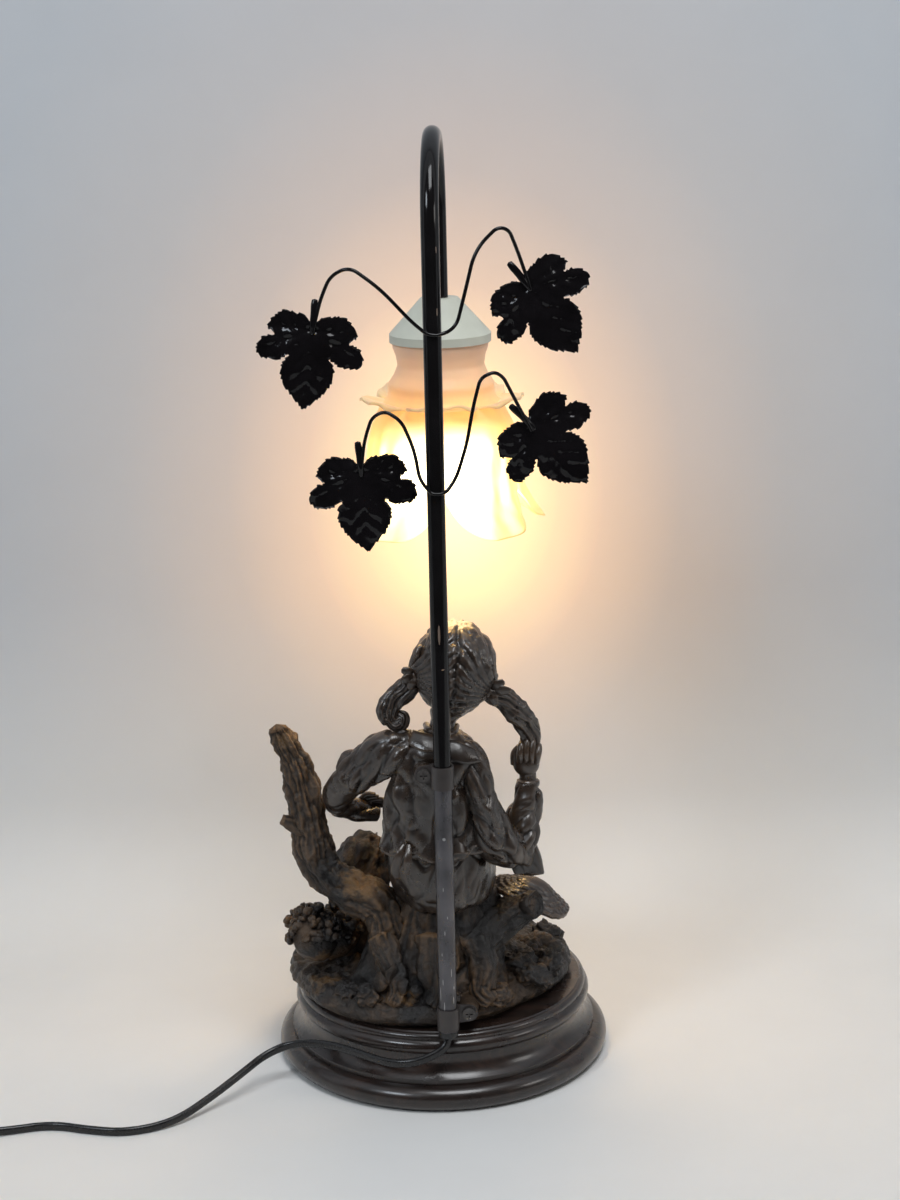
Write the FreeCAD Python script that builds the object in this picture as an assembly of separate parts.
import FreeCAD, Part
import math
import os

Vec = FreeCAD.Vector
UP = Vec(0, 0, 1)

# Figural table lamp: a girl seated on a log under a gooseneck lamp arm.
# Millimetres. The origin is the centre of the underside, +Z up. The girl looks along +Y, so the
# tube at her back and the screws of its clips are on the -Y side, and +X is her right.

# ---------- clearances ----------
fit_gap = 0.1            # radial gap of a push fit or a thread
slip_gap = 0.4           # gap between the lit parts that are taken apart to change a bulb
touch_gap = 0.05         # gap between faces that only touch
casting_gap = 0.3        # gap between the castings and the tube's clips

# ---------- turned wooden plinth ----------
felt_radius = 99.0
felt_thickness = 1.5
foot_radius = 103.5
torus_radius = 106.5
torus_height = 14.0
torus_lip_radius = 98.5
step_radius = 98.0
step_height = 3.5
cove_radius = 92.0
cove_height = 14.5
bead_radius = 95.0
bead_height = 9.0
cap_bead_radius = 92.6
cap_bead_height = 4.3
top_radius = 90.0
top_edge_height = 0.7

# ---------- wood screws that hold the casting, from below ----------
wood_screw_count = 3
wood_screw_circle = 48.0
wood_screw_shank = 2.2
wood_screw_head = 4.5
wood_screw_head_height = 2.6
wood_screw_pocket = 6.0
wood_screw_pocket_depth = 16.0
wood_screw_bite = 7.0

# ---------- ground casting ----------
ground_undercut = 5.0
ground_edge_height = 6.0
ground_rim_height = 14.0
ground_crown_height = 23.0
ground_rim_share = 0.93
ground_crown_share = 0.66
# outline of the slab, seen from above: bearing in degrees from +X and distance from the centre
ground_centre_x = -6.0
ground_outline = [
    (0, 90), (20, 92), (42, 84), (65, 82), (90, 80), (112, 84), (135, 88), (158, 94),
    (180, 93), (200, 90), (222, 91), (246, 90), (270, 87), (292, 84), (315, 80), (338, 86),
]

# ---------- the lamp tube ----------
pole_x = 3.0
pole_y = -98.0
lower_tube_radius = 5.55
lower_tube_wall = 0.8
lower_tube_bottom = 52.4
lower_tube_top = 221.0
neck_radius = 5.25
neck_wall = 0.8
neck_tail_length = 45.0
neck_tail_wall = 0.8
neck_reach = 100.0
neck_turn = 2.9           # degrees that the arm is turned away from straight ahead
neck_top = 591.0
rivet_radius = 1.0
rivet_height = 178.0

# ---------- tube clips and their screws ----------
clip_wall = 1.1
clip_height = 14.0
ear_thickness = 1.4
ear_radius = 5.4
ear_reach = 11.3          # from the tube's axis to the screw's axis, sideways
upper_screw_height = 215.0
lower_screw_height = 60.8
upper_clip_drop = 6.5     # from a clip's screw down to the clip's lower edge
lower_clip_drop = 7.3
boss_root_y = -70.0       # how deep the screw bosses reach into the casting
back_core = (-3, -74, 196, 12)    # solid middle of her back, which carries the upper boss
clip_screw_head = 4.1
clip_screw_head_height = 2.0
clip_screw_shank = 1.5
clip_screw_length = 11.0
cross_slot_length = 4.2
cross_slot_width = 0.9
cross_slot_depth = 1.1
ear_face_y = -91.2        # the side of the ears that lies on the casting

# ---------- bush at the foot of the tube ----------
bush_radius = 5.75
bush_flange = 3.4
bush_spigot = 9.0
bush_wall = 1.1

# ---------- wires and vine leaves ----------
wire_radius = 1.05
leaf_thickness = 1.0
leaf_dish_radius = 55.0
leaf_stem_width = 4.2
leaf_stem_length = 17.0
# right half of a leaf: across, and along from its stem junction (stem side positive)
leaf_half = [
    (2.0, 4.6), (7.8, 8.0), (14.6, 8.8), (21.5, 5.6), (25.8, -2.6), (21.5, -6.1),
    (27.3, -9.2), (30.2, -16.3), (27.3, -20.9), (19.5, -21.2), (11.5, -16.8), (14.6, -24.0),
    (13.7, -32.1), (7.8, -40.8), (0.0, -47.9),
]

# ---------- shade carrier, holder and shade ----------
cap_top = 486.5
cap_top_radius = 11.5
cap_rim_top = 465.0
cap_rim_radius = 31.0
cap_rim_height = 5.0
cap_wall = 0.8
lock_nut_across = 14.0
lock_nut_height = 3.0
holder_radius = 13.8
holder_wall = 1.4
holder_roof = 3.0
holder_mouth = 426.5
holder_flange_radius = 19.0
holder_flange_height = 2.0
insert_top_gap = 9.0
sleeve_radius = 7.9
sleeve_wall = 0.5
sleeve_length = 19.0
sleeve_mouth_inset = 2.0
contact_thickness = 0.6
contact_width = 5.0
contact_rivet_radius = 1.5
contact_rivet_height = 0.8
contact_gap = 0.2         # between the contact's rivet and the bulb's tip
glass_wall = 2.8
glass_top = 459.6
glass_neck_radius = 29.2
glass_waist_radius = 26.4
glass_waist_drop = 13.5
glass_shoulder_radius = 32.6
glass_shoulder_drop = 25.0
glass_throat_radius = 30.6
glass_throat_drop = 31.0
glass_cheek_radius = 42.0
glass_cheek_drop = 47.0
glass_belly_radius = 46.0
glass_belly_drop = 62.0
glass_flare_radius = 49.4
glass_flare_drop = 90.0
glass_mouth_radius = 61.0
glass_mouth_drop = 112.0
glass_edge_bevel = 1.5
petal_count = 5
petal_notch_radius = 31.0
petal_notch_drop = 9.0
petal_notch_start = 10.0
frill_radius = 50.0
frill_drop = 29.0
frill_thickness = 2.8
frill_slope = 7.0
frill_notch_radius = 24.0
frill_notch_offset = 12.0
shade_nut_radius = 20.5
shade_nut_height = 7.0
shade_travel = 7.0

# ---------- bulb ----------
bulb_globe_radius = 22.5
bulb_leave_angle = 40.0   # degrees above the globe's middle where the neck begins
bulb_length = 80.0
bulb_base_radius = 6.9
bulb_base_length = 25.0
bulb_neck_radius = 9.5
bulb_contact_radius = 2.6
bulb_contact_height = 1.6
bulb_travel = 18.0

# ---------- cord ----------
cord_diameter = 5.4
cord_length = 1800.0
inner_flex_diameter = 5.0
# from the bush, down beside the plinth, over the floor and out to the switch
lead_route = [
    (3.0, -98.0, 49.0), (2.4, -100.2, 42.8), (-5.5, -103.2, 38.6), (-17.5, -105.6, 34.8),
    (-33.5, -101.6, 32.7), (-53.4, -84.1, 32.1), (-70.2, -70.3, 31.3), (-93.5, -56.2, 27.0),
    (-112.0, -59.6, 21.2), (-126.0, -76.0, 16.4), (-144.0, -93.5, 9.5), (-165.3, -113.0, 3.1),
    (-192.0, -124.0, 2.7), (-216.0, -119.3, 2.7), (-240.0, -111.0, 2.7), (-266.0, -117.6, 2.7),
    (-287.0, -124.0, 4.8), (-303.0, -125.0, 7.2),
]
tail_length = 26.0
coil_turns = 7.5
coil_gap = 0.5            # between turns that lie side by side
coil_outer_radius = 39.3

# ---------- in-line switch ----------
switch_length = 58.0
switch_width = 22.0
switch_height = 15.0
switch_split = 7.0
switch_wall = 1.6
switch_corner = 4.0
rocker_length = 18.0
rocker_width = 9.0
rocker_proud = 1.6
rocker_depth = 6.0
rocker_swing = 14.0       # degrees from on to off
rocker_pin_radius = 1.0
pin_gap = 0.08
rocker_gap = 0.5
switch_screw_radius = 1.3
switch_screw_head = 2.4
switch_screw_span = 44.0
switch_screw_seat = switch_height - 1.2
terminal_size = 4.0
terminal_spread = 4.5

# ---------- plug ----------
plug_width = 35.3
plug_thickness = 13.7
plug_length = 36.0
plug_taper_length = 12.0
plug_neck_width = 11.0
pin_radius = 2.0
pin_length = 19.0
pin_pitch = 18.6
pin_root = 6.0


# ====================================================================== helpers

def save(name, shape):
    shape.exportStep(os.path.join("parts", name + ".step"))
    print(name, "solids", len(shape.Solids), "volume", round(shape.Volume, 1), "valid", shape.isValid())


def ring(outer, inner, bottom, top, x=0.0, y=0.0):
    body = Part.makeCylinder(outer, top - bottom, Vec(x, y, bottom))
    return body.cut(Part.makeCylinder(inner, top - bottom, Vec(x, y, bottom)))


def disc(radius, bottom, top, x=0.0, y=0.0):
    return Part.makeCylinder(radius, top - bottom, Vec(x, y, bottom))


def polygon_face(points):
    corners = [Vec(*p) for p in points]
    return Part.Face(Part.makePolygon(corners + [corners[0]]))


def revolve(profile, x, y):
    """A closed outline of edges in the XZ plane at the axis, turned once and moved to x, y."""
    body = Part.Face(Part.Wire(profile)).revolve(Vec(0, 0, 0), UP, 360)
    body.translate(Vec(x, y, 0))
    return body


def edges_through(points):
    """Edges from point to point in the XZ plane; a point with a third value ends an arc through it."""
    edges = []
    here = points[0]
    for step in points[1:]:
        start = Vec(here[0], 0, here[1])
        if len(step) == 4:
            middle = Vec(step[0], 0, step[1])
            end = Vec(step[2], 0, step[3])
            edges.append(Part.Arc(start, middle, end).toShape())
            here = (step[2], step[3])
        else:
            end = Vec(step[0], 0, step[1])
            edges.append(Part.LineSegment(start, end).toShape())
            here = step
    return edges


def limb(points):
    """A round limb: spheres at (x, y, z, radius) points joined by cones."""
    body = None
    for start, end in zip(points, points[1:]):
        a = Vec(*start[:3])
        b = Vec(*end[:3])
        along = b - a
        if abs(start[3] - end[3]) < 0.01:
            part = Part.makeCylinder(start[3], along.Length, a, along)
        else:
            part = Part.makeCone(start[3], end[3], along.Length, a, along)
        body = part if body is None else body.fuse(part)
    for point in points:
        body = body.fuse(Part.makeSphere(point[3], Vec(*point[:3])))
    return body


def egg(centre, radii, lean=0.0, nod=0.0):
    """An ellipsoid, leaned about Y and nodded about X, in degrees."""
    scale = FreeCAD.Matrix()
    scale.A11, scale.A22, scale.A33 = radii
    body = Part.makeSphere(1.0).transformGeometry(scale)
    body.rotate(Vec(0, 0, 0), Vec(0, 1, 0), lean)
    body.rotate(Vec(0, 0, 0), Vec(1, 0, 0), nod)
    body.translate(Vec(*centre))
    return body


def round_wire(x, y, z, half_x, half_y, count=12):
    """A closed smooth section through count points of an ellipse, starting on +X."""
    points = []
    for n in range(count):
        turn = 2 * math.pi * n / count
        points.append(Vec(x + half_x * math.cos(turn), y + half_y * math.sin(turn), z))
    curve = Part.BSplineCurve()
    curve.interpolate(points, PeriodicFlag=True)
    return Part.Wire(curve.toShape())


def swell(sections):
    """A smooth body through (x, y, z, half width, half depth) sections, lowest first."""
    return Part.makeLoft([round_wire(*section) for section in sections], True, False)


def rounded_edges(points):
    """Straight runs between points, joined by arcs as large as the two runs allow."""
    route = [Vec(*p) for p in points]
    edges = []
    radii = []
    here = route[0]
    for before, corner, after in zip(route, route[1:], route[2:]):
        arriving = corner - before
        leaving = after - corner
        tangent = 0.45 * min(arriving.Length, leaving.Length)
        turn = arriving.getAngle(leaving)
        radii.append(tangent / math.tan(turn / 2))
        start = corner - Vec(arriving).normalize() * tangent
        end = corner + Vec(leaving).normalize() * tangent
        bisector = (start + end) * 0.5 - corner
        depth = bisector.Length
        inset = radii[-1] / math.cos(turn / 2) - radii[-1]
        middle = corner + bisector * (inset / depth)
        edges.append(Part.LineSegment(here, start).toShape())
        edges.append(Part.Arc(start, middle, end).toShape())
        here = end
    edges.append(Part.LineSegment(here, route[-1]).toShape())
    return edges, radii


def sweep(edges, radius):
    """A round tube of the given radius along tangent edges."""
    path = Part.Wire(edges)
    start = edges[0].valueAt(edges[0].FirstParameter)
    heading = edges[0].tangentAt(edges[0].FirstParameter)
    section = Part.Wire(Part.makeCircle(radius, start, heading))
    shell = Part.BRepOffsetAPI.MakePipeShell(path)
    shell.add(section)
    shell.build()
    shell.makeSolid()
    body = shell.shape()
    wanted = math.pi * radius ** 2 * path.Length
    return body, path.Length, body.Volume / wanted


def report(name, length, share, radii):
    print(name, "length", round(length, 1), "volume share", round(share, 4), "radii", [round(r, 1) for r in radii])


def arc_from(start, heading, end):
    """The arc that leaves start along heading and ends at end, or a line where they are in line."""
    chord = end - start
    half_turn = heading.getAngle(chord)
    if half_turn < 1e-4:
        return Part.LineSegment(start, end).toShape()
    side = heading - chord * (heading.dot(chord) / chord.dot(chord))
    side.normalize()
    rise = chord.Length / 2 * math.tan(half_turn / 2)
    return Part.Arc(start, (start + end) * 0.5 + side * rise, end).toShape()


def biarc(start, start_heading, end, end_heading):
    """Two tangent arcs from one point and heading to another."""
    across = end - start
    both = start_heading + end_heading
    spread = 2 * (1 - start_heading.dot(end_heading))
    lead = (-across.dot(both) + math.sqrt(across.dot(both) ** 2 + spread * across.dot(across))) / spread
    meeting = (start + end + (start_heading - end_heading) * lead) * 0.5
    first = arc_from(start, start_heading, meeting)
    back = arc_from(end, end_heading * -1, meeting)
    second = back.copy()
    second.reverse()
    return [first, second]


# ====================================================================== plinth

wood_bottom = felt_thickness
torus_top = wood_bottom + torus_height
cove_bottom = torus_top + step_height
bead_bottom = cove_bottom + cove_height
bead_top = bead_bottom + bead_height
cap_bead_top = bead_top + cap_bead_height
plinth_top = cap_bead_top + top_edge_height


def screw_places():
    for n in range(wood_screw_count):
        turn = math.radians(90 + 360 * n / wood_screw_count)
        yield (wood_screw_circle * math.cos(turn), wood_screw_circle * math.sin(turn))


def make_plinth():
    outline = edges_through([
        (0, wood_bottom), (foot_radius, wood_bottom),
        (torus_radius, wood_bottom + torus_height * 0.45, torus_lip_radius, torus_top),
        (step_radius, torus_top), (step_radius, cove_bottom),
        (cove_radius + 1.0, cove_bottom + cove_height * 0.38, cove_radius, bead_bottom),
        (bead_radius, bead_bottom + bead_height * 0.6, cove_radius + 0.4, bead_top),
        (cap_bead_radius, bead_top + cap_bead_height * 0.5, top_radius, cap_bead_top),
        (top_radius - 1.0, plinth_top), (0, plinth_top), (0, wood_bottom),
    ])
    body = revolve(outline, 0, 0)
    for x, y in screw_places():
        body = body.cut(disc(wood_screw_pocket, wood_bottom, wood_bottom + wood_screw_pocket_depth, x, y))
        body = body.cut(disc(wood_screw_shank + fit_gap, wood_bottom, plinth_top, x, y))
    return body


def make_wood_screws():
    screws = []
    seat = wood_bottom + wood_screw_pocket_depth
    for x, y in screw_places():
        screw = disc(wood_screw_head, seat - wood_screw_head_height, seat, x, y)
        screw = screw.fuse(disc(wood_screw_shank, seat, plinth_top + wood_screw_bite, x, y))
        slot = Part.makeBox(2 * wood_screw_head, cross_slot_width, cross_slot_depth)
        slot.translate(Vec(x - wood_screw_head, y - cross_slot_width / 2, seat - wood_screw_head_height))
        screws.append(screw.cut(slot))
    return Part.makeCompound(screws)


# ====================================================================== castings of the figure

def ground_section(share, height, inset=0.0):
    points = []
    for bearing, distance in ground_outline:
        reach = distance * share - inset
        turn = math.radians(bearing)
        points.append((ground_centre_x + reach * math.cos(turn), reach * math.sin(turn), height))
    corners = [Vec(*p) for p in points]
    return Part.makePolygon(corners + [corners[0]])


def make_ground():
    sections = [
        ground_section(1.0, plinth_top, ground_undercut),
        ground_section(1.0, plinth_top + ground_edge_height),
        ground_section(ground_rim_share, plinth_top + ground_rim_height),
        ground_section(ground_crown_share, plinth_top + ground_crown_height),
    ]
    return Part.makeLoft(sections, True, True)


# the log she sits on, with its root mass: (x, y, z, half width, half depth) sections
log_mass = [
    (-8, -42, 60, 52, 38), (-6, -42, 78, 46, 34), (-2, -40, 98, 38, 31), (2, -38, 112, 35, 29),
    (4, -38, 121, 30, 26),
]
log_stub = [(18, -52, 92, 17), (40, -49, 104, 11.5), (58, -46, 112, 7.5)]
log_roots = [
    [(-38, -60, 100, 9), (-30, -68, 84, 8), (-27, -74, 70, 7), (-30, -80, 62, 5)],
    [(20, -62, 96, 10), (26, -70, 82, 9), (24, -76, 68, 8), (30, -80, 62, 5)],
    [(-6, -66, 100, 11), (-8, -74, 84, 9), (-4, -79, 70, 7), (-8, -82, 62, 5)],
]
trunk_line = [
    (-28, -58, 70, 13), (-31, -54, 96, 13), (-36, -48, 115, 14), (-54, -42, 121, 14),
    (-71, -38, 132, 13.5), (-79, -36, 152, 12.5), (-82.5, -36, 178, 11), (-87, -36, 202, 9),
    (-95, -36, 221, 7.5), (-97.5, -36, 228, 5.5),
]
trunk_twig = [(-86, -36, 164, 6.5), (-96, -38, 169, 4)]
bush_lumps = [(-80, -34, 92, 17), (-68, -22, 86, 17), (-84, -14, 84, 13)]
stump = [(-50, 2, 74, 23), (-50, 2, 96, 19), (-50, 2, 122, 16), (-43, 5, 131, 11), (-40, 6, 137, 5)]
stones = [
    (46, -30, 68, 14), (62, -8, 64, 13), (30, -70, 63, 10), (-44, -68, 64, 10), (-60, -60, 64, 8),
    (12, -74, 62, 8), (70, 20, 64, 9), (-10, 66, 66, 10), (44, 50, 65, 11), (-56, 48, 66, 12),
]
hat_crown = [(52, -24, 111, 12), (52, -24, 117, 11)]
hat_centre = (57.0, -34.0, 114.0)
hat_radii = (26.0, 20.0, 3.2)
hat_lean = 26.0

# her body: (x, y, z, half width, half depth) sections
skirt_sections = [
    (4, -34, 118, 36, 42), (3, -36, 130, 37.5, 43), (2, -42, 144, 35, 37), (0, -50, 156, 30, 29),
    (-1, -56, 166, 26, 23),
]
jacket_hem = [(-3, -61.5, 159, 33.5, 26), (-3, -61.5, 165, 32, 25), (-3, -61.5, 171, 30.2, 24)]
skirt_lap = [(6, -20, 138, 20), (5, 6, 138, 18), (4, 26, 132, 13)]
torso_sections = [
    (-3, -60, 162, 31, 24), (-3, -64, 176, 29, 22.5), (-3, -66, 196, 27.5, 21.5),
    (-2, -68, 214, 28, 20), (0, -68, 224, 24, 17), (3, -66, 231, 13, 12), (4, -64, 238, 9.5, 9.5),
]
left_arm_line = [(-26, -66, 218, 13), (-48, -58, 207, 12), (-60, -50, 194, 10.5), (-63, -40, 182, 8)]
left_hand_line = [(-63, -40, 180, 7), (-53, -27, 172, 6.5), (-42, -24, 174, 6.5), (-33, -22, 181, 4.5)]
right_arm_line = [(16, -66, 212, 12), (27, -61, 184, 11), (41, -54, 156, 11), (52, -50, 180, 8)]
right_hand_line = [(52, -50, 180, 7), (55, -48, 197, 6), (55, -48, 210, 7.5)]
sleeve_tail = [(44, -54, 156, 9), (58, -51, 142, 6), (64, -50, 133, 3)]
leg_left = [
    (-12, -30, 142, 19), (-13, 0, 146, 16.5), (-14, 24, 144, 13.5), (-14, 33, 118, 9.5), (-14, 30, 84, 7),
]
leg_right = [
    (20, -32, 144, 19), (23, -4, 150, 17), (24, 19, 151, 13.5), (25, 30, 122, 9.5), (25, 28, 84, 7),
]
shoe_left = [(-14, 30, 78, 7.5), (-15, 47, 76, 6)]
shoe_right = [(25, 28, 79, 7.5), (27, 45, 77, 6)]
neck_line = [(4, -64, 232, 9), (7, -61, 246, 9)]
head_centre = (11.5, -58.0, 270.0)
head_radii = (24.2, 26.5, 28.0)
head_lean = 8.0
nose_line = [(10.5, -33, 266, 3.2), (10.2, -30.5, 261, 3.0)]
chin = (9.5, -38.0, 248.0, 8.0)
bunch_left = [
    (-11, -62, 267, 5), (-21, -62, 257, 6.5), (-28, -62, 247, 6.5), (-27, -63, 240, 5), (-21, -64, 241, 4.5),
]
bunch_right = [(30, -60, 257, 5.5), (45, -56, 247, 7), (54, -52, 234, 7), (56.5, -49, 219, 6.5)]


def fused(parts):
    body = parts[0]
    for part in parts[1:]:
        body = body.fuse(part)
    return body.removeSplitter()


def boss(x, z, radius):
    """A flat-faced boss on the casting for a clip's screw, pointing at the tube's side."""
    return Part.makeCylinder(radius, boss_root_y - ear_face_y, Vec(x, ear_face_y, z), Vec(0, 1, 0))


def screw_hole(x, z):
    depth = clip_screw_length - ear_thickness + 0.5
    return Part.makeCylinder(clip_screw_shank + fit_gap, depth, Vec(x, ear_face_y, z), Vec(0, 1, 0))


upper_screw_x = pole_x - ear_reach
lower_screw_x = pole_x + ear_reach + 1.6


def make_ground_casting():
    parts = [make_ground()]
    parts += [Part.makeSphere(stone[3], Vec(*stone[:3])) for stone in stones]
    parts.append(boss(lower_screw_x, lower_screw_height, ear_radius))
    body = fused(parts)
    body = body.cut(Part.makeBox(400, 400, 60, Vec(-200, -200, plinth_top - 60)))
    body = body.cut(screw_hole(lower_screw_x, lower_screw_height))
    body = body.cut(tube_room())
    for x, y in screw_places():
        hole_top = plinth_top + wood_screw_bite + 0.5
        body = body.cut(disc(wood_screw_shank + fit_gap, plinth_top - 1, hole_top, x, y))
    return body


def tube_room():
    """The space that the castings leave for the tube and its clips."""
    return disc(lower_tube_radius + clip_wall + casting_gap, plinth_top - 10, 400, pole_x, pole_y)


def make_log():
    return fused([swell(log_mass), limb(log_stub)] + [limb(root) for root in log_roots]).cut(tube_room())


def make_mound():
    """The heap of leaves and the tree stump on her left."""
    return fused([limb(bush_lumps), limb(stump)])


def make_trunk():
    return fused([limb(trunk_line), limb(trunk_twig)])


def make_hat():
    brim = egg(hat_centre, hat_radii, hat_lean)
    return fused([brim, limb(hat_crown)])


def make_body():
    parts = [swell(skirt_sections), swell(torso_sections), swell(jacket_hem)]
    parts += [limb(line) for line in (leg_left, leg_right, shoe_left, shoe_right, skirt_lap)]
    parts.append(boss(upper_screw_x, upper_screw_height, ear_radius))
    parts.append(limb([(upper_screw_x, boss_root_y - ear_radius, upper_screw_height, ear_radius), back_core]))
    body = fused(parts)
    return body.cut(screw_hole(upper_screw_x, upper_screw_height))


def make_head():
    parts = [egg(head_centre, head_radii, head_lean), limb(neck_line), limb(nose_line)]
    parts.append(Part.makeSphere(chin[3], Vec(*chin[:3])))
    return fused(parts)


# ====================================================================== tube, clips and bush

clip_radius = lower_tube_radius + fit_gap + clip_wall
bend_radius = neck_reach / 2
bend_height = neck_top - neck_radius - bend_radius
neck_heading = Vec(math.sin(math.radians(neck_turn)), math.cos(math.radians(neck_turn)), 0)
shade_x = pole_x + neck_reach * neck_heading.x
shade_y = pole_y + neck_reach * neck_heading.y
holder_top = cap_top - cap_wall - lock_nut_height
neck_end = holder_top - holder_roof
tail_outer = lower_tube_radius - lower_tube_wall - fit_gap


def neck_path(start_height, end_height):
    """Up the pole, over the bend and down to the holder."""
    foot = Vec(pole_x, pole_y, start_height)
    rise = Vec(pole_x, pole_y, bend_height)
    crest = rise + neck_heading * bend_radius + UP * bend_radius
    fall = rise + neck_heading * neck_reach
    end = Vec(shade_x, shade_y, end_height)
    return [
        Part.LineSegment(foot, rise).toShape(),
        Part.Arc(rise, crest, fall).toShape(),
        Part.LineSegment(fall, end).toShape(),
    ]


def make_lower_tube():
    inner = lower_tube_radius - lower_tube_wall
    body = ring(lower_tube_radius, inner, lower_tube_bottom, lower_tube_top, pole_x, pole_y)
    rivet_root = Vec(pole_x, pole_y, rivet_height)
    return body.cut(Part.makeCylinder(rivet_radius, lower_tube_radius, rivet_root, Vec(0, -1, 0)))


def make_neck():
    outer, _, _ = sweep(neck_path(lower_tube_top, neck_end), neck_radius)
    inner, _, _ = sweep(neck_path(lower_tube_top, neck_end), neck_radius - neck_wall)
    tail_bottom = lower_tube_top - neck_tail_length
    tail = disc(tail_outer, tail_bottom, lower_tube_top, pole_x, pole_y)
    body = outer.fuse(tail)
    body = body.cut(inner)
    return body.cut(disc(tail_outer - neck_tail_wall, tail_bottom, lower_tube_top + 1, pole_x, pole_y))


def make_rivet():
    """The dimpled pin that locks the neck's tail in the lower tube."""
    root = Vec(pole_x, pole_y, rivet_height)
    pin = Part.makeCylinder(rivet_radius - touch_gap, lower_tube_radius, root, Vec(0, -1, 0))
    return pin.cut(disc(tail_outer, rivet_height - 5, rivet_height + 5, pole_x, pole_y))


def make_clip(bottom, screw_x, screw_z):
    """A saddle clip: a sleeve round the tube with a flat ear at one side."""
    sleeve = ring(clip_radius, lower_tube_radius + fit_gap, bottom, bottom + clip_height, pole_x, pole_y)
    ear_y = ear_face_y - ear_thickness
    head = Part.makeCylinder(ear_radius, ear_thickness, Vec(screw_x, ear_y, screw_z), Vec(0, 1, 0))
    side = 1 if screw_x > pole_x else -1
    tangent_x = pole_x + side * (clip_radius - clip_wall)
    web = polygon_face([
        (tangent_x, ear_y, bottom + 1.0), (tangent_x, ear_y, bottom + clip_height - 1.0),
        (screw_x, ear_y, screw_z + ear_radius), (screw_x, ear_y, screw_z - ear_radius),
    ]).extrude(Vec(0, ear_thickness, 0))
    strap = polygon_face([
        (tangent_x, pole_y, bottom + 1.0), (tangent_x, pole_y, bottom + clip_height - 1.0),
        (tangent_x, ear_face_y, bottom + clip_height - 1.0), (tangent_x, ear_face_y, bottom + 1.0),
    ]).extrude(Vec(side * clip_wall, 0, 0))
    body = fused([sleeve, web, head, strap])
    body = body.cut(disc(lower_tube_radius + fit_gap, bottom - 1, bottom + clip_height + 1, pole_x, pole_y))
    hole_start = Vec(screw_x, ear_y, screw_z)
    return body.cut(Part.makeCylinder(clip_screw_shank + fit_gap, ear_thickness, hole_start, Vec(0, 1, 0)))


def make_clip_screws():
    screws = []
    for x, z in [(upper_screw_x, upper_screw_height), (lower_screw_x, lower_screw_height)]:
        face = ear_face_y - ear_thickness
        seat = Vec(x, face, z)
        head = Part.makeCylinder(clip_screw_head, clip_screw_head_height, seat, Vec(0, -1, 0))
        screw = head.fuse(Part.makeCylinder(clip_screw_shank, clip_screw_length, seat, Vec(0, 1, 0)))
        for length, width in [(cross_slot_length, cross_slot_width), (cross_slot_width, cross_slot_length)]:
            slot = Part.makeBox(length, cross_slot_depth, width)
            slot.translate(Vec(x - length / 2, face - clip_screw_head_height, z - width / 2))
            screw = screw.cut(slot)
        screws.append(screw)
    return Part.makeCompound(screws)


bush_bottom = lower_tube_bottom - bush_flange


def make_bush():
    flange_top = bush_bottom + bush_flange
    spigot_radius = lower_tube_radius - lower_tube_wall - fit_gap
    body = disc(bush_radius, bush_bottom, flange_top, pole_x, pole_y)
    body = body.fuse(disc(spigot_radius, flange_top, flange_top + bush_spigot, pole_x, pole_y))
    return body.cut(disc(inner_flex_diameter / 2, flange_top, flange_top + bush_spigot, pole_x, pole_y))


def make_inner_flex():
    """The lead's run inside the tube, from the bush to the holder's terminals."""
    start = bush_bottom + bush_flange
    body, length, share = sweep(neck_path(start, insert_top), inner_flex_diameter / 2)
    print("inner flex length", round(length, 1), "volume share", round(share, 4))
    return body


# ====================================================================== wires and leaves

wire_cross_y = pole_y - neck_radius - wire_radius - 0.25
# left leaf to right leaf, past the back of the tube
upper_wire_route = [
    (-64.3, -92.2, 480.0), (-59.8, -93.2, 497.6), (-53.5, -95.0, 511.7), (-42.6, -98.0, 517.1),
    (-25.9, -100.6, 505.0), (-8.1, -103.0, 485.7), (2.4, wire_cross_y, 477.1), (16.3, -102.2, 481.4),
    (22.5, -100.4, 504.0), (27.9, -98.4, 525.1), (44.9, -95.4, 540.8), (52.4, -92.8, 522.0),
    (58.5, -90.6, 503.0),
]
lower_wire_route = [
    (-39.2, -93.4, 402.0), (-37.1, -95.2, 417.8), (-32.5, -96.8, 431.3), (-25.0, -98.1, 435.3),
    (-15.8, -99.8, 429.7), (-8.9, -101.2, 413.7), (-6.0, -102.5, 395.8), (0.2, -103.8, 388.0),
    (4.2, wire_cross_y, 387.3), (9.0, -103.7, 388.5), (14.9, -102.4, 396.6), (21.2, -100.6, 415.3),
    (25.1, -99.2, 436.2), (29.7, -98.0, 452.9), (37.8, -96.4, 455.9), (42.8, -94.8, 452.4),
    (51.0, -93.1, 435.7), (58.8, -91.6, 420.5),
]


def make_wire(name, route):
    edges, radii = rounded_edges(route)
    body, length, share = sweep(edges, wire_radius)
    report(name, length, share, radii)
    return body


# junction of the veins, bearing of the middle lobe from straight down, size, turn about the stem, tilt
leaves = {
    "leaf_upper_left": ((-64.6, -92.2, 482.0), -8.9, 0.98, -5.0, 8.0),
    "leaf_upper_right": ((57.3, -90.8, 503.1), 35.9, 1.0, 5.0, 8.0),
    "leaf_lower_left": ((-39.6, -93.2, 399.1), 2.8, 1.01, -5.0, 8.0),
    "leaf_lower_right": ((58.3, -91.4, 423.8), 43.0, 0.99, 5.0, 8.0),
}


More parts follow.
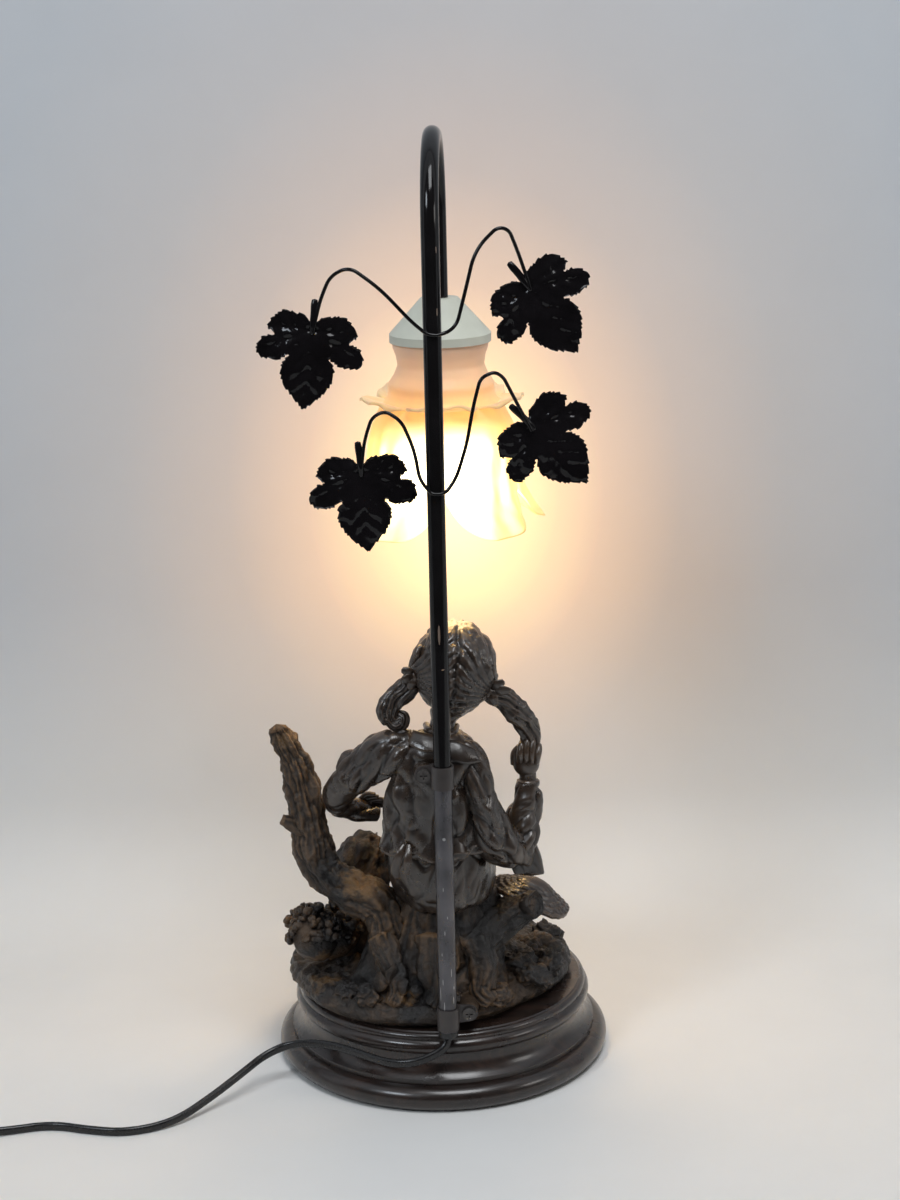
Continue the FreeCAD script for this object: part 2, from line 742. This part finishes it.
def make_leaf(place, bearing, size, turn, tilt):
    """A five-lobed leaf cut from a sheet that is bent about its middle vein."""
    right = [(u * size, v * size) for u, v in leaf_half]
    left = [(-u, v) for u, v in reversed(right[:-1])]
    half_stem = leaf_stem_width / 2
    stem_top = leaf_stem_length * size
    stem = [(-half_stem, stem_top), (half_stem, stem_top)]
    outline = polygon_face([(u, -leaf_dish_radius, v) for u, v in right + left + stem])
    blank = outline.extrude(Vec(0, 2 * leaf_dish_radius, 0))
    axis_y = leaf_dish_radius
    tall = 200.0
    outer = Part.makeCylinder(leaf_dish_radius + leaf_thickness, tall, Vec(0, axis_y, -tall / 2))
    inner = Part.makeCylinder(leaf_dish_radius, tall, Vec(0, axis_y, -tall / 2))
    near_side = Part.makeBox(tall, axis_y + 10, tall, Vec(-tall / 2, -10, -tall / 2))
    body = blank.common(outer.cut(inner)).common(near_side)
    body.rotate(Vec(0, 0, 0), Vec(1, 0, 0), tilt)
    body.rotate(Vec(0, 0, 0), Vec(0, 0, 1), turn)
    body.rotate(Vec(0, 0, 0), Vec(0, 1, 0), -bearing)
    body.translate(Vec(*place) + Vec(0, wire_radius + leaf_thickness + touch_gap, 0))
    return body


# ====================================================================== carrier, holder, shade, bulb

cap_rim_bottom = cap_rim_top - cap_rim_height
insert_top = holder_top - insert_top_gap
glass_plate_bottom = glass_top - glass_wall


def make_shade_cap():
    slope = cap_wall * 1.25
    outline = edges_through([
        (neck_radius + fit_gap, cap_top), (cap_top_radius, cap_top), (cap_rim_radius, cap_rim_top),
        (cap_rim_radius, cap_rim_bottom), (cap_rim_radius - cap_wall, cap_rim_bottom),
        (cap_rim_radius - cap_wall, cap_rim_top - cap_wall / 2),
        (cap_top_radius - slope / 2, cap_top - cap_wall),
        (neck_radius + fit_gap, cap_top - cap_wall), (neck_radius + fit_gap, cap_top),
    ])
    return revolve(outline, shade_x, shade_y)


def make_lock_nut():
    corners = []
    for n in range(6):
        turn = math.radians(60 * n)
        reach = lock_nut_across / math.sqrt(3)
        corners.append((shade_x + reach * math.cos(turn), shade_y + reach * math.sin(turn), holder_top))
    body = polygon_face(corners).extrude(UP * lock_nut_height)
    return body.cut(disc(neck_radius + fit_gap, holder_top - 1, cap_top, shade_x, shade_y))


def make_holder_shell():
    x, y = shade_x, shade_y
    body = disc(holder_radius, holder_mouth, holder_top, x, y)
    body = body.fuse(disc(holder_flange_radius, glass_top, glass_top + holder_flange_height, x, y))
    body = body.cut(disc(holder_radius - holder_wall, holder_mouth, holder_top - holder_roof, x, y))
    return body.cut(disc(neck_radius + fit_gap, holder_top - holder_roof - 1, holder_top, x, y))


def sleeve_top():
    return holder_mouth + sleeve_mouth_inset + sleeve_length


def make_holder_insert():
    x, y = shade_x, shade_y
    body = disc(holder_radius - holder_wall - fit_gap, holder_mouth + sleeve_mouth_inset, insert_top, x, y)
    return body.cut(disc(sleeve_radius + fit_gap, holder_mouth, sleeve_top(), x, y))


def make_thread_sleeve():
    bottom = holder_mouth + sleeve_mouth_inset
    return ring(sleeve_radius, sleeve_radius - sleeve_wall, bottom, sleeve_top(), shade_x, shade_y)


def make_centre_contact():
    """A sprung brass tongue on the roof of the socket."""
    top = sleeve_top()
    strip = Part.makeBox(2 * contact_width, contact_width, contact_thickness)
    strip.translate(Vec(shade_x - contact_width, shade_y - contact_width / 2, top - contact_thickness))
    face = top - contact_thickness
    rivet = disc(contact_rivet_radius, face - contact_rivet_height, face, shade_x, shade_y)
    return strip.fuse(rivet)


def make_shade_nut():
    """The ring on the holder's outer thread that clamps the glass against the flange."""
    top = glass_plate_bottom - touch_gap
    return ring(shade_nut_radius, holder_radius + fit_gap, top - shade_nut_height, top, shade_x, shade_y)


def glass_ring(line):
    """A part of the shade: its wall along a line of (radius, drop below the top), turned once."""
    top = glass_top - touch_gap
    outside = [(radius, top - drop) for radius, drop in line]
    inside = [(radius - glass_wall, height) for radius, height in reversed(outside)]
    return revolve(edges_through(outside + inside + [outside[0]]), shade_x, shade_y)


def make_glass_neck():
    """The flat collar that the ring clamps, and the waisted neck below it."""
    top = glass_top - touch_gap
    shoulder = glass_neck_radius - glass_edge_bevel
    collar = ring(shoulder, holder_radius + slip_gap, top - glass_wall, top, shade_x, shade_y)
    wall = glass_ring([
        (shoulder, 0), (glass_neck_radius, glass_edge_bevel),
        (glass_waist_radius, glass_waist_drop), (glass_shoulder_radius, glass_shoulder_drop),
        (glass_throat_radius, glass_throat_drop),
    ])
    return fused([collar, wall])


def make_glass_bell():
    return glass_ring([
        (glass_throat_radius, glass_throat_drop), (glass_cheek_radius, glass_cheek_drop),
        (glass_belly_radius, glass_belly_drop),
    ])


def make_glass_petals():
    """The flared rim, cut by round notches into petals."""
    body = glass_ring([
        (glass_belly_radius, glass_belly_drop), (glass_flare_radius, glass_flare_drop),
        (glass_mouth_radius, glass_mouth_drop),
    ])
    notch_height = glass_top - glass_mouth_drop - petal_notch_drop
    for n in range(petal_count):
        turn = math.radians(90 + 360 * (n + 0.5) / petal_count)
        heading = Vec(math.cos(turn), math.sin(turn), 0)
        start = Vec(shade_x, shade_y, notch_height) + heading * petal_notch_start
        body = body.cut(Part.makeCylinder(petal_notch_radius, 2 * glass_mouth_radius, start, heading))
    return body


def make_glass_frill():
    """The row of short outer petals that stands out below the shoulder."""
    root = glass_throat_radius + glass_wall
    high = glass_top - frill_drop
    outline = edges_through([
        (root, high - frill_slope), (frill_radius, high), (frill_radius, high - frill_thickness),
        (root, high - frill_slope - frill_thickness), (root, high - frill_slope),
    ])
    body = revolve(outline, shade_x, shade_y)
    for n in range(petal_count):
        turn = math.radians(90 + 360 * n / petal_count)
        x = shade_x + (frill_radius + frill_notch_offset) * math.cos(turn)
        y = shade_y + (frill_radius + frill_notch_offset) * math.sin(turn)
        body = body.cut(disc(frill_notch_radius, high - frill_radius, high + frill_radius, x, y))
    return body.cut(make_glass_neck()).cut(make_glass_bell())


bulb_seat = sleeve_top() - contact_thickness - contact_rivet_height - contact_gap
bulb_bottom = bulb_seat - bulb_length
bulb_globe_z = bulb_bottom + bulb_globe_radius
bulb_base_bottom = bulb_seat - bulb_contact_height - bulb_base_length


def make_bulb_glass():
    leave = math.radians(bulb_leave_angle)
    middle = math.radians((bulb_leave_angle - 90) / 2)
    outline = edges_through([
        (0, bulb_bottom),
        (bulb_globe_radius * math.cos(middle), bulb_globe_z + bulb_globe_radius * math.sin(middle),
         bulb_globe_radius * math.cos(leave), bulb_globe_z + bulb_globe_radius * math.sin(leave)),
        (bulb_neck_radius, bulb_base_bottom - 2.0), (bulb_base_radius - 0.8, bulb_base_bottom + 2.0),
        (bulb_base_radius - 0.8, bulb_base_bottom + 4.0), (0, bulb_base_bottom + 4.0), (0, bulb_bottom),
    ])
    return revolve(outline, shade_x, shade_y)


def make_bulb_base():
    x, y = shade_x, shade_y
    top = bulb_seat - bulb_contact_height
    shell = ring(bulb_base_radius, bulb_base_radius - 0.7, bulb_base_bottom + 2.0, top, x, y)
    roof = disc(bulb_base_radius, top - 1.0, top, x, y)
    tip = disc(bulb_contact_radius, top, bulb_seat, x, y)
    return fused([shell, roof, tip])


# ====================================================================== cord, switch and plug

lead_end = lead_route[-1]
switch_x = lead_end[0]
switch_y = lead_end[1]
switch_mid = switch_height / 2 - 0.3
cord_floor = cord_diameter / 2


def make_lead():
    edges, radii = rounded_edges(lead_route)
    body, length, share = sweep(edges, cord_diameter / 2)
    report("lead", length, share, radii)
    return body, length


tail_start = Vec(switch_x - switch_length, switch_y, switch_mid)
tail_end = Vec(switch_x - switch_length - tail_length, switch_y, cord_floor)


def make_tail():
    """From the switch down to the first turn of the coil."""
    third = tail_length / 3
    route = [
        tuple(tail_start), (tail_start.x - third, switch_y, switch_mid - 0.6),
        (tail_start.x - 2 * third, switch_y, cord_floor + 0.1), tuple(tail_end),
    ]
    edges, radii = rounded_edges(route)
    body, length, share = sweep(edges, cord_diameter / 2)
    report("tail", length, share, radii)
    return body, length


coil_pitch = cord_diameter + coil_gap
coil_x = tail_end.x - cord_diameter
coil_y = switch_y + coil_outer_radius


def coil_point(turned):
    """Centre line of the coil after some turns: in on the floor, up one layer, and out again."""
    half = coil_turns / 2
    radius = coil_outer_radius - coil_pitch * (half - abs(turned - half))
    climb = min(max((turned - (half - 0.25)) / 0.5, 0.0), 1.0)
    smooth = climb * climb * (3 - 2 * climb)
    angle = -math.pi / 2 - 2 * math.pi * turned
    height = cord_floor + coil_pitch * smooth
    return Vec(coil_x + radius * math.cos(angle), coil_y + radius * math.sin(angle), height)


def coil_heading(turned):
    step = 1e-4
    return (coil_point(turned + step) - coil_point(turned - step)).normalize()


def make_coil():
    """One unbroken tube of spiral turns in two layers, with straight ends of one diameter."""
    quarters = int(round(coil_turns * 4))
    start = coil_point(0)
    first_heading = Vec(-1, 0, 0)
    last_heading = Vec(1, 0, 0)
    edges = [Part.LineSegment(start + first_heading * -cord_diameter, start).toShape()]
    for n in range(quarters):
        a = n / 4
        b = (n + 1) / 4
        heading_a = first_heading if n == 0 else coil_heading(a)
        heading_b = last_heading if n == quarters - 1 else coil_heading(b)
        edges += biarc(coil_point(a), heading_a, coil_point(b), heading_b)
    end = coil_point(coil_turns)
    edges.append(Part.LineSegment(end, end + last_heading * cord_diameter).toShape())
    body, length, share = sweep(edges, cord_diameter / 2)
    print("coil length", round(length, 1), "volume share", round(share, 4))
    print("coil self gap", round(coil_self_gap(), 2))
    return body, length


def coil_self_gap():
    """Least gap between the coil's tube and itself, half a turn or more along."""
    steps = 48
    count = int(coil_turns * steps)
    line = [coil_point(n / steps) for n in range(count + 1)]
    least = 1e9
    for i in range(len(line)):
        for j in range(i + steps // 2, len(line)):
            least = min(least, line[i].distanceToPoint(line[j]))
    return least - cord_diameter


coil_end = coil_point(coil_turns) + Vec(cord_diameter, 0, 0)
plug_mid = plug_thickness / 2
plug_back_x = coil_end.x + tail_length


def make_plug_lead():
    third = tail_length / 3
    fall = coil_end.z - plug_mid
    route = [
        tuple(coil_end), (coil_end.x + third, coil_end.y, coil_end.z - fall * 0.1),
        (coil_end.x + 2 * third, coil_end.y, plug_mid + fall * 0.1), (plug_back_x, coil_end.y, plug_mid),
    ]
    edges, radii = rounded_edges(route)
    body, length, share = sweep(edges, cord_diameter / 2)
    report("plug lead", length, share, radii)
    return body, length


def switch_block(bottom, top, inset):
    """A boat-shaped slice of the switch's case between two heights, drawn in by inset."""
    half_width = switch_width / 2 - inset
    nose = cord_diameter / 2 + 1.6 - inset
    far = switch_length - inset
    shoulder = 12.0
    outline = [
        (inset, -nose), (shoulder, -half_width), (switch_length - shoulder, -half_width), (far, -nose),
        (far, nose), (switch_length - shoulder, half_width), (shoulder, half_width), (inset, nose),
    ]
    corners = [(switch_x - u, switch_y + v, bottom) for u, v in outline]
    return polygon_face(corners).extrude(UP * (top - bottom))


switch_centre_x = switch_x - switch_length / 2


def switch_screw_places():
    for side in (-1, 1):
        yield switch_centre_x + side * switch_screw_span / 2


def make_switch_base():
    body = switch_block(0, switch_split, 0).cut(switch_block(switch_wall, switch_split, switch_wall))
    for x in switch_screw_places():
        post = disc(switch_screw_radius + 1.4, switch_wall / 2, switch_split, x, switch_y)
        body = body.fuse(post).cut(disc(switch_screw_radius + fit_gap, 1.0, switch_split, x, switch_y))
    return body


def rocker_window(gap):
    length = rocker_length + 2 * gap
    width = rocker_width + 2 * gap
    window = Part.makeBox(length, width, 20)
    window.translate(Vec(switch_centre_x - length / 2, switch_y - width / 2, switch_height - 4))
    return window


def make_switch_cover():
    body = switch_block(switch_split, switch_height, 0)
    body = body.makeFillet(1.5, [e for e in body.Edges if abs(e.CenterOfMass.z - switch_height) < 0.01])
    body = body.cut(switch_block(switch_split, switch_height - switch_wall, switch_wall))
    body = body.cut(rocker_window(rocker_gap))
    for side in (-1, 1):
        ear_inner = switch_y + side * (rocker_width / 2 + rocker_gap)
        ear = Part.makeBox(6.0, 1.4, 4.6)
        low = ear_inner if side > 0 else ear_inner - 1.4
        ear.translate(Vec(switch_centre_x - 3.0, low, switch_height - switch_wall - 4.6))
        body = body.fuse(ear)
    pivot_half = rocker_width / 2 + rocker_gap + 1.6
    pivot_start = Vec(switch_centre_x, switch_y - pivot_half, rocker_axis_z)
    body = body.cut(Part.makeCylinder(rocker_pin_radius + pin_gap, 2 * pivot_half, pivot_start, Vec(0, 1, 0)))
    for x in switch_screw_places():
        post = disc(switch_screw_radius + 1.4, switch_split, switch_height - switch_wall / 2, x, switch_y)
        body = body.fuse(post)
        body = body.cut(disc(switch_screw_radius + fit_gap, switch_split, switch_height, x, switch_y))
        body = body.cut(disc(switch_screw_head + fit_gap, switch_screw_seat, switch_height + 1, x, switch_y))
    return body


rocker_axis_z = switch_height - switch_wall - 2.4


def make_rocker():
    """A see-saw key, dished along its length, that stands proud of the cover on one side."""
    half = rocker_length / 2
    swing = math.radians(rocker_swing / 2)
    floor_z = -rocker_depth * 0.45
    crest = switch_height + rocker_proud * 0.4 - rocker_axis_z
    tip = crest + rocker_proud * 0.5
    outline = [
        Part.LineSegment(Vec(-half + 2.5, 0, floor_z), Vec(half - 2.5, 0, floor_z)).toShape(),
        Part.LineSegment(Vec(half - 2.5, 0, floor_z), Vec(half - 0.6, 0, tip)).toShape(),
        Part.Arc(Vec(half - 0.6, 0, tip), Vec(0, 0, crest - 0.6), Vec(-half + 0.6, 0, tip)).toShape(),
        Part.LineSegment(Vec(-half + 0.6, 0, tip), Vec(-half + 2.5, 0, floor_z)).toShape(),
    ]
    key = Part.Face(Part.Wire(outline)).extrude(Vec(0, rocker_width, 0))
    key.translate(Vec(0, -rocker_width / 2, 0))
    pin_half = rocker_width / 2 + rocker_gap + 1.3
    pin = Part.makeCylinder(rocker_pin_radius, 2 * pin_half, Vec(0, -pin_half, 0), Vec(0, 1, 0))
    body = key.fuse(pin)
    body.rotate(Vec(0, 0, 0), Vec(0, 1, 0), math.degrees(swing))
    body.translate(Vec(switch_centre_x, switch_y, rocker_axis_z))
    return body


def make_switch_screws():
    screws = []
    for x in switch_screw_places():
        head = disc(switch_screw_head, switch_screw_seat, switch_screw_seat + 1.0, x, switch_y)
        shank = disc(switch_screw_radius, 1.2, switch_screw_seat, x, switch_y)
        slot = Part.makeBox(2 * switch_screw_head, 0.7, 0.6)
        slot.translate(Vec(x - switch_screw_head, switch_y - 0.35, switch_height - 0.8))
        screws.append(head.fuse(shank).cut(slot))
    return Part.makeCompound(screws)


def make_switch_terminals():
    blocks = []
    for side in (-1, 1):
        block = Part.makeBox(terminal_size * 1.6, terminal_size, terminal_size)
        block_y = switch_y - terminal_size / 2 + side * terminal_spread
        block.translate(Vec(switch_centre_x - terminal_size * 0.8, block_y, switch_wall))
        blocks.append(block)
    return Part.makeCompound(blocks)


def make_plug_body():
    half = plug_width / 2
    neck = plug_neck_width / 2
    start = plug_back_x
    waist = start + plug_taper_length
    front = start + plug_length
    y = coil_end.y
    side = [(start, neck), (waist, half * 0.72), (waist + 10, half), (front, half * 0.9)]
    outline = [(x, y - reach, 0) for x, reach in side] + [(x, y + reach, 0) for x, reach in reversed(side)]
    body = polygon_face(outline).extrude(UP * plug_thickness)
    rims = [e for e in body.Edges if abs(e.tangentAt(e.FirstParameter).z) < 0.01]
    body = body.makeFillet(2.5, rims)
    for side in (-1, 1):
        root = Vec(front - pin_root, y + side * pin_pitch / 2, plug_mid)
        body = body.cut(Part.makeCylinder(pin_radius, pin_root, root, Vec(1, 0, 0)))
    return body


def make_plug_pins():
    pins = []
    front = plug_back_x + plug_length
    for side in (-1, 1):
        root = Vec(front - pin_root, coil_end.y + side * pin_pitch / 2, plug_mid)
        pin = Part.makeCylinder(pin_radius, pin_root + pin_length, root, Vec(1, 0, 0))
        tip = [e for e in pin.Edges if abs(e.CenterOfMass.x - (front + pin_length)) < 0.01]
        pins.append(pin.makeFillet(1.2, tip))
    return Part.makeCompound(pins)


# ====================================================================== build

def make_figure():
    """The castings, each trimmed by the ones that it is bonded to, so that they meet face to face."""
    ground = make_ground_casting()
    log = make_log().cut(ground)
    mound = make_mound().cut(ground).cut(log)
    trunk = make_trunk().cut(ground).cut(log).cut(mound)
    body = make_body().cut(ground).cut(log).cut(mound).cut(trunk)
    hat = make_hat().cut(ground).cut(log).cut(body)
    head = make_head().cut(body)
    left_arm = fused([limb(left_arm_line), limb(left_hand_line)]).cut(body).cut(trunk)
    right_arm = fused([limb(right_arm_line), limb(right_hand_line), limb(sleeve_tail)])
    right_arm = right_arm.cut(body).cut(hat).cut(log)
    left_bunch = limb(bunch_left).cut(head).cut(body).cut(left_arm)
    right_bunch = limb(bunch_right).cut(head).cut(right_arm)
    return {
        "ground_casting": ground, "log_seat": log, "leaf_mound": mound, "tree_branch": trunk,
        "girl_body": body, "girl_head": head, "straw_hat": hat, "left_arm": left_arm,
        "right_arm": right_arm, "left_hair_bunch": left_bunch, "right_hair_bunch": right_bunch,
    }


def main():
    os.makedirs("parts", exist_ok=True)
    save("felt_pad", disc(felt_radius, 0, felt_thickness))
    save("plinth", make_plinth())
    save("plinth_screws", make_wood_screws())
    for name, shape in make_figure().items():
        save(name, shape)

    neck = make_neck()
    bush = make_bush()
    save("lower_tube", make_lower_tube())
    save("gooseneck_tube", neck)
    save("tube_rivet", make_rivet())
    save("upper_clip", make_clip(upper_screw_height - upper_clip_drop, upper_screw_x, upper_screw_height))
    save("lower_clip", make_clip(lower_screw_height - lower_clip_drop, lower_screw_x, lower_screw_height))
    save("clip_screws", make_clip_screws())
    save("cord_bush", bush)
    save("inner_flex", make_inner_flex())

    # the wires are soldered to the tube and the leaves to the wires
    upper_wire = make_wire("upper wire", upper_wire_route).cut(neck)
    lower_wire = make_wire("lower wire", lower_wire_route).cut(neck)
    save("vine_wire_upper", upper_wire)
    save("vine_wire_lower", lower_wire)
    for name, settings in leaves.items():
        save(name, make_leaf(*settings).cut(upper_wire if "upper" in name else lower_wire))

    save("shade_cap", make_shade_cap())
    save("cap_lock_nut", make_lock_nut())
    save("holder_shell", make_holder_shell())
    save("holder_insert", make_holder_insert())
    save("thread_sleeve", make_thread_sleeve())
    save("centre_contact", make_centre_contact())
    save("shade_nut", make_shade_nut())
    save("glass_neck", make_glass_neck())
    save("glass_bell", make_glass_bell())
    save("glass_petals", make_glass_petals())
    save("glass_frill", make_glass_frill())
    save("bulb_glass", make_bulb_glass())
    save("bulb_base", make_bulb_base())

    lead, lead_run = make_lead()
    tail, tail_run = make_tail()
    coil, coil_run = make_coil()
    plug_lead, plug_run = make_plug_lead()
    base = make_switch_base()
    cover = make_switch_cover()
    plug = make_plug_body()
    save("cord_lead", lead.cut(bush).cut(base).cut(cover))
    save("cord_tail", tail.cut(base).cut(cover).cut(coil))
    save("cord_coil", coil)
    save("cord_plug_end", plug_lead.cut(coil).cut(plug))
    total = lead_run + switch_length + tail_run + coil_run + plug_run
    print("cord from bush to plug", round(total, 1), "wanted", cord_length)
    save("switch_base", base)
    save("switch_cover", cover)
    save("switch_rocker", make_rocker())
    save("switch_screws", make_switch_screws())
    save("switch_terminals", make_switch_terminals())
    save("plug_body", plug)
    save("plug_pins", make_plug_pins())


main()
